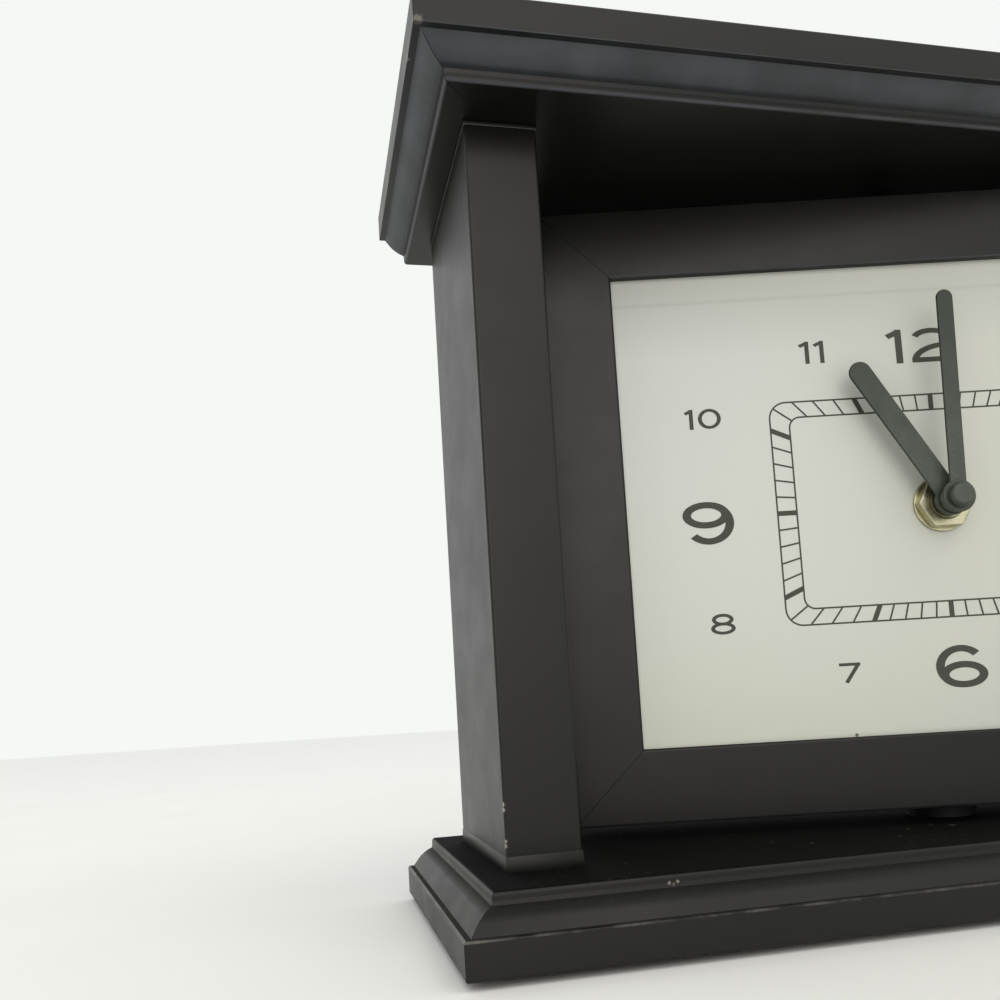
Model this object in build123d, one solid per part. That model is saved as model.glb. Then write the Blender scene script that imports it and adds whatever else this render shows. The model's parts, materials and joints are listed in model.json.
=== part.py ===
from build123d import *
import math
import os

# Photo frame clock: a black wooden mantel case whose two-sided panel swivels on a vertical axis.
# The front of the panel is the clock dial and its back is a lift-off photo frame.
# Millimetres. +X right, +Y back, +Z up. The origin is on the resting surface, under the base's centre.

# Case posts and boards
post_width = 15.6
post_depth = 50.4
post_height = 155.0
post_edge_round = 0.6
inside_width = 201.2
crown_height = 13.4
base_height = 13.4
crown_side_reach = 4.9
crown_front_reach = 10.7
base_side_reach = 5.5
base_front_reach = 15.0
rear_reach = 11.8

# Moulding section, measured out from the bead's edge and away from the opening
moulding_back = 4.0
moulding_out = 7.3
bead_rise = 1.6
bead_swell = 0.85
bead_neck = 0.4
band_in = 1.0
band_start = 2.4
band_out = 5.0
band_end = 5.5
band_swell = 0.4
ledge_rise = 6.5
moulding_edge_round = 0.5

# Case fastenings and feet
fastening_inset = 12.0
dowel_diameter = 6.0
dowel_length = 22.0
screw_diameter = 3.5
screw_length = 32.0
screw_head_diameter = 7.2
screw_head_height = 2.4
glue_clearance = 0.05
screw_clearance = 0.2
pad_diameter = 12.0
pad_thickness = 1.5
pad_inset = 30.0
pad_edge_inset = 12.0

# Swivel
swivel_angle = -12.3
pin_diameter = 6.0
pin_in_board = 9.0
pin_in_panel = 7.5
bush_diameter = 9.0
bush_length = 8.0
flange_diameter = 14.0
flange_thickness = 1.2
thrust_washer_diameter = 16.0
running_clearance = 0.05

# Panel frame
panel_gap = 3.6
side_gap = 8.3
frame_border = 17.2
frame_depth = 25.0
frame_edge_round = 0.6
lip_thickness = 2.0
rabbet_width = 5.0
fit_clearance = 0.3
dial_card_thickness = 0.4
dial_board_thickness = 3.0
fillet_strip = 4.5

# Lift-off photo frame
photo_frame_depth = 10.0
photo_frame_inset = 0.8
photo_lip_thickness = 2.5
photo_glass_thickness = 2.0
photo_print_thickness = 0.3
photo_backing_thickness = 2.5
clip_thickness = 0.5
clip_width = 8.0
clip_length = 14.0
clip_offset = 30.0
magnet_diameter = 8.0
magnet_thickness = 2.0
magnet_inset = 34.0

# Movement
dial_drop = 2.9
movement_width = 56.0
movement_depth = 15.6
movement_wall = 1.4
gasket_thickness = 0.8
gasket_diameter = 20.0
battery_diameter = 14.2
battery_length = 49.5
battery_nub_diameter = 5.5
battery_nub_length = 1.0
battery_clearance = 0.1
contact_plate = 0.4
contact_width = 9.0
contact_tongue_diameter = 4.5
divider_thickness = 1.0
boss_diameter = 4.0
boss_bite = 0.4
cover_screw_diameter = 2.0
cover_screw_length = 7.0
cover_screw_head = 3.8
cover_screw_head_height = 1.2
pillar_diameter = 3.0

# Dial centre fittings and hands
centre_bush_diameter = 8.0
centre_bush_flange = 11.0
centre_bush_flange_thickness = 0.7
bush_rise = 3.4
dial_washer_diameter = 13.4
dial_washer_thickness = 0.6
nut_across_flats = 11.4
nut_thickness = 2.4
hour_tube_diameter = 5.0
minute_arbor_diameter = 3.2
hand_thickness = 0.8
hand_gap = 0.3
hour_hand_rise = 6.0
hour_hand_length = 39.0
hour_hand_width = 5.3
hour_hub_diameter = 7.6
hour_collar_diameter = 7.0
hour_hand_angle = -30.8
minute_hand_rise = 9.1
minute_hand_length = 48.9
minute_hand_width = 3.8
minute_hub_diameter = 7.6
minute_collar_diameter = 6.8
minute_hand_angle = 1.5
cap_diameter = 5.6
cap_height = 2.2
cap_round = 0.9

# Wheel train: tooth counts, modules and the direction of each axis from the one before it
train_layers = 8
layer_lead = 0.25
wheel_thickness = 0.9
pinion_overlap = 0.2
arbor_diameter = 1.2
pivot_depth = 0.9
cannon_teeth = 12
minute_wheel_teeth = 36
minute_pinion_teeth = 10
hour_wheel_teeth = 40
motion_module = 0.5
centre_teeth = 60
third_pinion_teeth = 8
centre_module = 0.34
third_teeth = 64
seconds_pinion_teeth = 8
seconds_teeth = 50
step_pinion_teeth = 10
step_teeth = 48
rotor_pinion_teeth = 8
going_module = 0.30
setting_direction = 55.0
third_direction = 175.0
seconds_direction = 70.0
step_direction = 150.0
rotor_direction = 45.0
tooth_addendum = 0.8
tooth_dedendum = 1.2
tooth_root_share = 0.28
tooth_tip_share = 0.10
setting_arbor_diameter = 2.0
knob_diameter = 13.0
knob_thickness = 2.6
knob_grips = 18
knob_grip_diameter = 1.2

# Motor and circuit
magnet_rotor_diameter = 5.0
magnet_rotor_length = 4.0
stator_gap = 0.7
stator_width = 8.6
stator_length = 35.0
stator_thickness = 1.0
stator_pillar_spacing = 17.5
coil_diameter = 5.8
coil_length = 16.0
coil_flange = 6.4
coil_flange_thickness = 1.0
circuit_width = 12.5
circuit_height = 15.0
circuit_thickness = 1.0
circuit_start = 9.0
circuit_drop = 10.2
chip_size = 4.0
chip_thickness = 1.0
crystal_diameter = 2.1
crystal_length = 6.2
crystal_offset = 4.75

# Places worked out from the sizes above
post_half_span = inside_width / 2 + post_width
base_depth = moulding_out + base_front_reach + post_depth + rear_reach
board_back_y = base_depth / 2
post_front_y = -base_depth / 2 + moulding_out + base_front_reach
post_mid_y = post_front_y + post_depth / 2
base_bottom_z = pad_thickness
base_top_z = base_bottom_z + base_height
soffit_z = base_top_z + post_height
panel_mid_z = (base_top_z + soffit_z) / 2

panel_width = inside_width - 2 * side_gap
panel_height = post_height - 2 * panel_gap
panel_thickness = frame_depth + photo_frame_depth
opening_width = panel_width - 2 * frame_border
opening_height = panel_height - 2 * frame_border
recess_width = opening_width + 2 * rabbet_width
recess_height = opening_height + 2 * rabbet_width
pane_width = recess_width - 2 * fit_clearance
pane_height = recess_height - 2 * fit_clearance

# Depths in the panel run back from its front face
dial_front = lip_thickness
board_front = dial_front + dial_card_thickness
board_back = board_front + dial_board_thickness
housing_front = board_back + gasket_thickness
housing_inside = housing_front + movement_wall
cover_front = housing_front + movement_depth - movement_wall
cover_back = housing_front + movement_depth
train_depth = cover_front - housing_inside
layer_step = train_depth / train_layers
half_movement = movement_width / 2
inner_half = half_movement - movement_wall
divider_low = -inner_half + battery_diameter + 2 * battery_clearance
divider_high = divider_low + divider_thickness

motion_teeth = cannon_teeth + minute_wheel_teeth
hour_module = motion_module * motion_teeth / (minute_pinion_teeth + hour_wheel_teeth)
screw_offsets = (post_front_y + fastening_inset, post_front_y + post_depth - fastening_inset)
post_centre_x = inside_width / 2 + post_width / 2

swivel_place = Location((0, post_mid_y, panel_mid_z), (0, 0, swivel_angle))
panel_place = swivel_place * Pos(0, -panel_thickness / 2, 0)
movement_place = panel_place * Pos(0, 0, -dial_drop)


def polar(start, distance, direction):
    """A point at a distance and direction from another, in the plane of the dial."""
    turn = math.radians(direction)
    return (start[0] + distance * math.cos(turn), start[1] + distance * math.sin(turn))


def centre_distance(module, teeth_a, teeth_b):
    return module * (teeth_a + teeth_b) / 2


setting_distance = centre_distance(motion_module, cannon_teeth, minute_wheel_teeth)
third_distance = centre_distance(centre_module, centre_teeth, third_pinion_teeth)
seconds_distance = centre_distance(going_module, third_teeth, seconds_pinion_teeth)
step_distance = centre_distance(going_module, seconds_teeth, step_pinion_teeth)
rotor_distance = centre_distance(going_module, step_teeth, rotor_pinion_teeth)
centre_axis = (0.0, 0.0)
setting_axis = polar(centre_axis, setting_distance, setting_direction)
third_axis = polar(centre_axis, third_distance, third_direction)
seconds_axis = polar(third_axis, seconds_distance, seconds_direction)
step_axis = polar(seconds_axis, step_distance, step_direction)
rotor_axis = polar(step_axis, rotor_distance, rotor_direction)


def layer_front(layer):
    """Front of a wheel layer: 0 lies nearest the dial."""
    return housing_inside + layer_step * (layer + layer_lead)


def slab(sketch, front, back, at=(0.0, 0.0)):
    """A sketch in the plane of the dial, made solid between two depths."""
    return Pos(at[0], back, at[1]) * Rot(90, 0, 0) * extrude(sketch, back - front)


def rod(diameter, front, back, at=(0.0, 0.0)):
    """A round bar square to the dial between two depths."""
    return Pos(at[0], (front + back) / 2, at[1]) * Rot(90, 0, 0) * Cylinder(diameter / 2, back - front)


def plate(width, height, front, back, at=(0.0, 0.0)):
    """A rectangular block square to the dial between two depths."""
    return Pos(at[0], (front + back) / 2, at[1]) * Box(width, back - front, height)


def post_bar(diameter, low, high, x, y):
    """An upright round bar between two heights."""
    return Pos(x, y, (low + high) / 2) * Cylinder(diameter / 2, high - low)


# Case


def moulding_section(height, way):
    """Bead, sloped band, ledge and fascia: way is 1 up from the soffit, -1 down from the base top."""
    band_run = band_out - band_in
    band_lift = band_end - band_start
    swell = band_swell / math.hypot(band_run, band_lift)
    bow_x = (band_in + band_out) / 2 + swell * band_lift
    bow_z = way * ((band_start + band_end) / 2 - swell * band_run)
    corner = moulding_edge_round * (1 - math.sqrt(0.5))
    top = way * height
    edges = [
        Line((-moulding_back, 0), (0, 0)),
        ThreePointArc((0, 0), (bead_swell, way * bead_rise / 2), (bead_neck, way * bead_rise)),
        Line((bead_neck, way * bead_rise), (band_in, way * band_start)),
        ThreePointArc((band_in, way * band_start), (bow_x, bow_z), (band_out, way * band_end)),
        Line((band_out, way * band_end), (band_out, way * ledge_rise)),
        Line((band_out, way * ledge_rise), (moulding_out, way * ledge_rise)),
        Line((moulding_out, way * ledge_rise), (moulding_out, top - way * moulding_edge_round)),
        ThreePointArc(
            (moulding_out, top - way * moulding_edge_round),
            (moulding_out - corner, top - way * corner),
            (moulding_out - moulding_edge_round, top),
        ),
        Line((moulding_out - moulding_edge_round, top), (-moulding_back, top)),
        Line((-moulding_back, top), (-moulding_back, 0)),
    ]
    return make_face(edges)


def moulding_set(side_reach, front_reach, level, height, way):
    """The mitred front strip and the two side strips, which are cut square at the back."""
    bead_x = post_half_span + side_reach
    bead_y = post_front_y - front_reach
    out_x = bead_x + moulding_out
    out_y = bead_y - moulding_out
    in_x = bead_x - moulding_back
    in_y = bead_y + moulding_back
    section = moulding_section(height, way)
    run = board_back_y - out_y
    front_plane = Plane(origin=(out_x, bead_y, level), x_dir=(0, -1, 0), z_dir=(-1, 0, 0))
    left_plane = Plane(origin=(-bead_x, out_y, level), x_dir=(-1, 0, 0), z_dir=(0, 1, 0))
    right_plane = Plane(origin=(bead_x, board_back_y, level), x_dir=(1, 0, 0), z_dir=(0, -1, 0))
    front_plan = [(-out_x, out_y), (out_x, out_y), (in_x, in_y), (-in_x, in_y)]
    left_plan = [(-out_x, out_y), (-in_x, in_y), (-in_x, board_back_y), (-out_x, board_back_y)]
    right_plan = [(-x, y) for x, y in left_plan]
    low = min(level, level + way * height)

    def cut(plane, length, plan):
        mitre = Pos(0, 0, low) * extrude(make_face(Polyline(*plan, close=True)), height)
        return extrude(plane * section, length) & mitre

    return (
        cut(front_plane, 2 * out_x, front_plan),
        cut(left_plane, run, left_plan),
        cut(right_plane, run, right_plan),
    )


def case_board(side_reach, front_reach, low, height):
    half_x = post_half_span + side_reach - moulding_back
    front_y = post_front_y - front_reach + moulding_back
    depth = board_back_y - front_y
    return Pos(0, front_y + depth / 2, low + height / 2) * Box(2 * half_x, depth, height)


def fastening_places():
    return [(side * post_centre_x, y) for side in (-1, 1) for y in screw_offsets]


def screw_cone(extra):
    """The countersunk head, with its flat side on the underside of the base."""
    head = Cone(screw_head_diameter / 2 + extra, screw_diameter / 2 + extra, screw_head_height)
    return Pos(0, 0, base_bottom_z + screw_head_height / 2) * head


def make_case():
    dowel_low = soffit_z - dowel_length / 2
    dowel_high = soffit_z + dowel_length / 2
    screw_top = base_bottom_z + screw_length

    top_board = case_board(crown_side_reach, crown_front_reach, soffit_z, crown_height)
    base_board = case_board(base_side_reach, base_front_reach, base_bottom_z, base_height)
    posts = []
    for side in (-1, 1):
        block = Box(post_width, post_depth, post_height)
        block = fillet(block.edges().filter_by(Axis.Z), post_edge_round)
        posts.append(Pos(side * post_centre_x, post_mid_y, base_top_z + post_height / 2) * block)

    dowels = []
    screws = []
    for x, y in fastening_places():
        dowels.append(post_bar(dowel_diameter, dowel_low, dowel_high, x, y))
        socket = post_bar(dowel_diameter + 2 * glue_clearance, dowel_low, dowel_high, x, y)
        shank = post_bar(screw_diameter, base_bottom_z, screw_top, x, y)
        screws.append(Pos(x, y, 0) * screw_cone(0) + shank)
        pilot = post_bar(screw_diameter + 2 * glue_clearance, base_bottom_z, screw_top, x, y)
        top_board -= socket
        posts = [post - socket - pilot for post in posts]
        base_board -= Pos(x, y, 0) * screw_cone(screw_clearance)
        base_board -= post_bar(screw_diameter + 2 * screw_clearance, base_bottom_z, base_top_z, x, y)

    pin_low = (base_top_z - pin_in_board, base_top_z + panel_gap + pin_in_panel)
    pin_high = (soffit_z - panel_gap - pin_in_panel, soffit_z + pin_in_board)
    pins = [post_bar(pin_diameter, low, high, 0, post_mid_y) for low, high in (pin_low, pin_high)]
    for low, high in (pin_low, pin_high):
        hole = post_bar(pin_diameter + 2 * glue_clearance, low, high, 0, post_mid_y)
        base_board -= hole
        top_board -= hole
    washer_top = base_top_z + panel_gap - flange_thickness
    washer = post_bar(thrust_washer_diameter, base_top_z, washer_top, 0, post_mid_y)
    washer -= post_bar(pin_diameter + 2 * running_clearance, base_top_z, washer_top, 0, post_mid_y)

    pad_x = post_half_span + base_side_reach - moulding_back - pad_inset
    pad_y = base_depth / 2 - moulding_out - moulding_back - pad_edge_inset
    pad_places = [(x, y) for x in (-pad_x, pad_x) for y in (-pad_y, pad_y)]
    pads = [post_bar(pad_diameter, 0, pad_thickness, x, y) for x, y in pad_places]

    crown = moulding_set(crown_side_reach, crown_front_reach, soffit_z, crown_height, 1)
    base = moulding_set(base_side_reach, base_front_reach, base_top_z, base_height, -1)
    return {
        "top_board": top_board,
        "crown_front": crown[0],
        "crown_left": crown[1],
        "crown_right": crown[2],
        "base_board": base_board,
        "base_front": base[0],
        "base_left": base[1],
        "base_right": base[2],
        "left_post": posts[0],
        "right_post": posts[1],
        "post_dowels": dowels,
        "post_screws": screws,
        "foot_pads": pads,
        "pivot_pins": pins,
        "thrust_washer": washer,
    }


# Swivelling panel


def mitred_rails(ring, width, height, border, front, back):
    """Cuts a rectangular ring along its corner mitres: top, bottom, left and right."""
    half_w = width / 2
    half_h = height / 2
    in_w = half_w - border
    in_h = half_h - border
    top = [(-half_w, half_h), (half_w, half_h), (in_w, in_h), (-in_w, in_h)]
    left = [(-half_w, -half_h), (-half_w, half_h), (-in_w, in_h), (-in_w, -in_h)]
    bottom = [(x, -z) for x, z in top]
    right = [(-x, z) for x, z in left]
    faces = [make_face(Polyline(*plan, close=True)) for plan in (top, bottom, left, right)]
    return [ring & slab(face, front, back) for face in faces]


def magnet_places():
    spot_x = panel_width / 2 - magnet_inset
    spot_z = panel_height / 2 - (frame_border - rabbet_width) / 2
    return [(x, z) for x in (-spot_x, spot_x) for z in (-spot_z, spot_z)]


def make_frame():
    ring = plate(panel_width, panel_height, 0, frame_depth)
    ring -= plate(opening_width, opening_height, 0, frame_depth)
    ring -= plate(recess_width, recess_height, lip_thickness, frame_depth)
    ring = fillet(ring.edges().group_by(Axis.Y)[0], frame_edge_round)

    axis_depth = panel_thickness / 2
    bushes = []
    for way in (-1, 1):
        face = way * panel_height / 2
        inner = face - way * bush_length
        outer = face + way * flange_thickness
        body = post_bar(bush_diameter, min(face, inner), max(face, inner), 0, axis_depth)
        flange = post_bar(flange_diameter, min(face, outer), max(face, outer), 0, axis_depth)
        bore = pin_diameter + 2 * running_clearance
        bore_bar = post_bar(bore, min(inner, outer), max(inner, outer), 0, axis_depth)
        bushes.append(body + flange - bore_bar)
        seat = bush_diameter + 2 * glue_clearance
        ring -= post_bar(seat, min(face, inner), max(face, inner), 0, axis_depth)

    magnets = []
    for place in magnet_places():
        magnets.append(rod(magnet_diameter, frame_depth - magnet_thickness, frame_depth, place))
        seat = magnet_diameter + 2 * glue_clearance
        ring -= rod(seat, frame_depth - magnet_thickness, frame_depth, place)
    rails = mitred_rails(ring, panel_width, panel_height, frame_border, 0, frame_depth)

    centre = (0.0, -dial_drop)
    hole = centre_bush_diameter + 2 * fit_clearance
    card = plate(pane_width, pane_height, dial_front, board_front)
    card -= rod(hole, dial_front, board_front, centre)
    board = plate(pane_width, pane_height, board_front, board_back)
    board -= rod(hole, board_front, board_back, centre)

    strip_back = board_back + fillet_strip
    strip_z = (recess_height - fillet_strip) / 2
    strip_x = (recess_width - fillet_strip) / 2
    upright = recess_height - 2 * fillet_strip
    strips = []
    for side in (-1, 1):
        strips.append(plate(recess_width, fillet_strip, board_back, strip_back, (0, side * strip_z)))
        strips.append(plate(fillet_strip, upright, board_back, strip_back, (side * strip_x, 0)))
    return {
        "frame_top_rail": rails[0],
        "frame_bottom_rail": rails[1],
        "frame_left_stile": rails[2],
        "frame_right_stile": rails[3],
        "pivot_bushes": bushes,
        "frame_magnets": magnets,
        "dial_card": card,
        "dial_board": board,
        "dial_fillets": strips,
    }


def make_photo_frame():
    width = panel_width - 2 * photo_frame_inset
    height = panel_height - 2 * photo_frame_inset
    border = frame_border - photo_frame_inset
    lip_front = panel_thickness - photo_lip_thickness
    ring = plate(width, height, frame_depth, panel_thickness)
    ring -= plate(opening_width, opening_height, frame_depth, panel_thickness)
    ring -= plate(recess_width, recess_height, frame_depth, lip_front)
    ring = fillet(ring.edges().group_by(Axis.Y)[-1], frame_edge_round)
    magnets = []
    for place in magnet_places():
        magnets.append(rod(magnet_diameter, frame_depth, frame_depth + magnet_thickness, place))
        seat = magnet_diameter + 2 * glue_clearance
        ring -= rod(seat, frame_depth, frame_depth + magnet_thickness, place)
    rails = mitred_rails(ring, width, height, border, frame_depth, panel_thickness)

    glass_front = lip_front - photo_glass_thickness
    print_front = glass_front - photo_print_thickness
    backing_front = print_front - photo_backing_thickness
    clip_front = backing_front - clip_thickness
    clip_x = (recess_width - clip_length) / 2
    clips = [
        plate(clip_length, clip_width, clip_front, backing_front, (x, z))
        for x in (-clip_x, clip_x)
        for z in (-clip_offset, clip_offset)
    ]
    return {
        "photo_top_rail": rails[0],
        "photo_bottom_rail": rails[1],
        "photo_left_stile": rails[2],
        "photo_right_stile": rails[3],
        "photo_glass": plate(pane_width, pane_height, glass_front, lip_front),
        "photo_print": plate(pane_width, pane_height, print_front, glass_front),
        "photo_backing": plate(pane_width, pane_height, backing_front, print_front),
        "backing_clips": clips,
        "photo_magnets": magnets,
    }


# Movement


def wheel(teeth, module, front, back, at, phase):
    """A wheel with straight-sided teeth; phase is the direction of one tooth's middle."""
    pitch = 360 / teeth
    root = module * teeth / 2 - tooth_dedendum * module
    tip = module * teeth / 2 + tooth_addendum * module
    flank = (
        (root, -tooth_root_share),
        (tip, -tooth_tip_share),
        (tip, tooth_tip_share),
        (root, tooth_root_share),
    )
    points = []
    for tooth in range(teeth):
        for radius, share in flank:
            points.append(polar((0, 0), radius, phase + (tooth + share) * pitch))
    return slab(make_face(Polyline(*points, close=True)), front, back, at)


def mesh_phase(axis_a, teeth_a, phase_a, axis_b, teeth_b):
    """The phase that puts a gap of wheel b where wheel a has a tooth."""
    line = math.degrees(math.atan2(axis_b[1] - axis_a[1], axis_b[0] - axis_a[0]))
    behind = (line - phase_a) * teeth_a / 360
    return line + 180 + (behind + 0.5) * 360 / teeth_b


def pinion(teeth, module, layer, at, phase):
    front = layer_front(layer) - pinion_overlap
    back = layer_front(layer) + wheel_thickness + pinion_overlap
    return wheel(teeth, module, front, back, at, phase)


def layer_wheel(teeth, module, layer, at, phase):
    return wheel(teeth, module, layer_front(layer), layer_front(layer) + wheel_thickness, at, phase)


def full_arbor(at):
    """An arbor that runs from its pivot hole in the housing to the one in the cover."""
    return rod(arbor_diameter, housing_inside - pivot_depth, cover_front + pivot_depth, at)


def make_train():
    cannon_phase = 0.0
    minute_phase = mesh_phase(centre_axis, cannon_teeth, cannon_phase, setting_axis, minute_wheel_teeth)
    hour_phase = mesh_phase(setting_axis, minute_pinion_teeth, 0.0, centre_axis, hour_wheel_teeth)
    third_phase = mesh_phase(centre_axis, centre_teeth, 0.0, third_axis, third_pinion_teeth)
    seconds_phase = mesh_phase(third_axis, third_teeth, 0.0, seconds_axis, seconds_pinion_teeth)
    step_phase = mesh_phase(seconds_axis, seconds_teeth, 0.0, step_axis, step_pinion_teeth)
    rotor_phase = mesh_phase(step_axis, step_teeth, 0.0, rotor_axis, rotor_pinion_teeth)

    hour_front = dial_front - hour_hand_rise
    minute_front = dial_front - minute_hand_rise
    hour_back = layer_front(0) + wheel_thickness
    arbor_hole = minute_arbor_diameter + 2 * running_clearance
    hour_wheel = layer_wheel(hour_wheel_teeth, hour_module, 0, centre_axis, hour_phase)
    hour_wheel += rod(hour_tube_diameter, hour_front, layer_front(0))
    hour_wheel -= rod(arbor_hole, hour_front, hour_back)

    centre_back = layer_front(2) + wheel_thickness
    minute_arbor = rod(minute_arbor_diameter, minute_front, centre_back + pinion_overlap)
    minute_arbor += pinion(cannon_teeth, motion_module, 1, centre_axis, cannon_phase)
    minute_arbor += rod(arbor_diameter, centre_back, cover_front + pivot_depth)
    centre_wheel = layer_wheel(centre_teeth, centre_module, 2, centre_axis, 0.0)
    centre_wheel -= rod(arbor_hole, layer_front(2), centre_back)

    knob_front = cover_back + hand_gap
    knob_back = knob_front + knob_thickness
    minute_wheel = layer_wheel(minute_wheel_teeth, motion_module, 1, setting_axis, minute_phase)
    minute_wheel += pinion(minute_pinion_teeth, hour_module, 0, setting_axis, 0.0)
    minute_wheel += rod(arbor_diameter, housing_inside - pivot_depth, layer_front(1), setting_axis)
    minute_wheel += rod(setting_arbor_diameter, layer_front(1), knob_back, setting_axis)
    knob = rod(knob_diameter, knob_front, knob_back, setting_axis)
    knob -= rod(setting_arbor_diameter + 2 * glue_clearance, knob_front, knob_back, setting_axis)
    for grip in range(knob_grips):
        place = polar(setting_axis, knob_diameter / 2, grip * 360 / knob_grips)
        knob -= rod(knob_grip_diameter, knob_front, knob_back, place)

    third_wheel = layer_wheel(third_teeth, going_module, 3, third_axis, 0.0)
    third_wheel += pinion(third_pinion_teeth, centre_module, 2, third_axis, third_phase)
    third_wheel += full_arbor(third_axis)
    seconds_wheel = layer_wheel(seconds_teeth, going_module, 4, seconds_axis, 0.0)
    seconds_wheel += pinion(seconds_pinion_teeth, going_module, 3, seconds_axis, seconds_phase)
    seconds_wheel += full_arbor(seconds_axis)
    step_wheel = layer_wheel(step_teeth, going_module, 5, step_axis, 0.0)
    step_wheel += pinion(step_pinion_teeth, going_module, 4, step_axis, step_phase)
    step_wheel += full_arbor(step_axis)
    rotor_pinion = pinion(rotor_pinion_teeth, going_module, 5, rotor_axis, rotor_phase)
    rotor_pinion += full_arbor(rotor_axis)
    magnet_middle = layer_front(2) + stator_thickness / 2
    magnet_front = magnet_middle - magnet_rotor_length / 2
    magnet_back = magnet_middle + magnet_rotor_length / 2
    rotor_magnet = rod(magnet_rotor_diameter, magnet_front, magnet_back, rotor_axis)
    rotor_magnet -= rod(arbor_diameter + 2 * glue_clearance, magnet_front, magnet_back, rotor_axis)
    return {
        "hour_wheel": hour_wheel,
        "minute_arbor": minute_arbor,
        "centre_wheel": centre_wheel,
        "minute_wheel": minute_wheel,
        "setting_knob": knob,
        "third_wheel": third_wheel,
        "seconds_wheel": seconds_wheel,
        "step_wheel": step_wheel,
        "rotor_pinion": rotor_pinion,
        "rotor_magnet": rotor_magnet,
    }


def hand(length, width, hub, collar, bore, front, collar_back, angle):
    """A bar hand with a round tip, a hub disc and a collar behind it, turned clockwise from twelve."""
    bar_height = length - width / 2
    outline = Pos(0, bar_height / 2) * Rectangle(width, bar_height)
    outline += Pos(0, bar_height) * Circle(width / 2)
    outline += Circle(hub / 2)
    body = slab(outline, front, front + hand_thickness) + rod(collar, front, collar_back)
    body -= rod(bore + 2 * glue_clearance, front, collar_back)
    return Rot(0, angle, 0) * body


def make_hands():
    hour_front = dial_front - hour_hand_rise
    minute_front = dial_front - minute_hand_rise
    bush_end = dial_front - bush_rise
    hour_hand = hand(
        hour_hand_length, hour_hand_width, hour_hub_diameter, hour_collar_diameter,
        hour_tube_diameter, hour_front, bush_end - hand_gap, hour_hand_angle,
    )
    minute_hand = hand(
        minute_hand_length, minute_hand_width, minute_hub_diameter, minute_collar_diameter,
        minute_arbor_diameter, minute_front, hour_front - hand_gap, minute_hand_angle,
    )
    cap = rod(cap_diameter, minute_front - cap_height, minute_front)
    cap = fillet(cap.edges().group_by(Axis.Y)[0], cap_round)
    return {"hour_hand": hour_hand, "minute_hand": minute_hand, "hand_cap": cap}


def boss_places():
    """The cover's screw bosses, which bite into the walls beside them."""
    spot = inner_half + boss_bite - boss_diameter / 2
    low = divider_high - boss_bite + boss_diameter / 2
    return [(-spot, low), (spot, low), (-spot, spot), (spot, spot)]


def stator_pillars():
    middle = rotor_axis[0] + (stator_length - stator_width) / 2
    height = rotor_axis[1] + (stator_width - pillar_diameter) / 2
    reach = stator_pillar_spacing / 2
    return [(middle - reach, height), (middle + reach, height)]


def circuit_pillars():
    spot = circuit_start + circuit_width - pillar_diameter / 2
    low = -circuit_drop + pillar_diameter / 2
    return [(spot, low), (spot, low + circuit_height - pillar_diameter)]


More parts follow.
